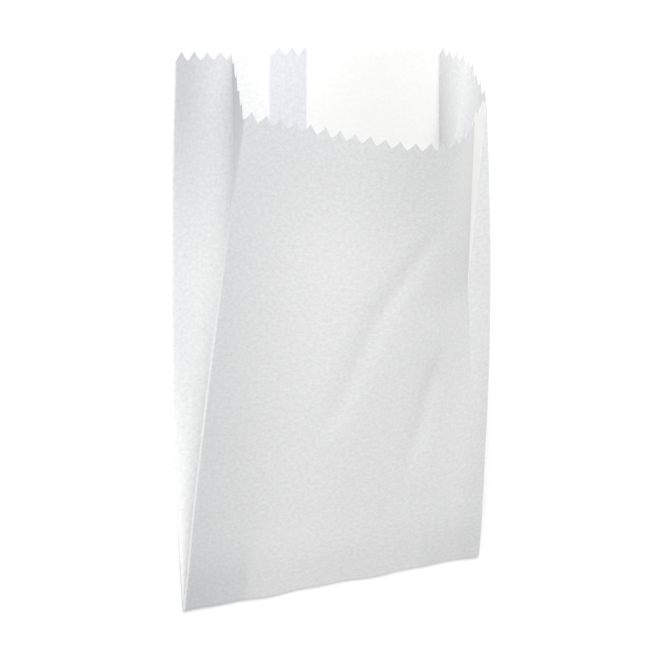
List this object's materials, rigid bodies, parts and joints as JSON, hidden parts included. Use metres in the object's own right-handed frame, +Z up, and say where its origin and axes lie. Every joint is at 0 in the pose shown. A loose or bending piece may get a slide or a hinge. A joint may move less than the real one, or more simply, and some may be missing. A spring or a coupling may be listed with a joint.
{
  "type": "grease-resistant paper bag",
  "caption": "White gusseted paper bag with a serrated open mouth and a flat glued bottom, lying on its back panel, for takeaway food.",
  "frame": {"origin": "middle of the bag's box, on the surface that it lies on", "axes": "+Y from the glued bottom edge to the open mouth, +Z up from the back panel to the front panel, +X across the bag's width"},
  "size_m": [0.1536, 0.2902, 0.1102],
  "materials": {
    "paper": "matt thin white grease-resistant paper, slightly cloudy"
  },
  "bodies": {
    "root": {"paper_bag": "paper"}
  },
  "joints": []
}
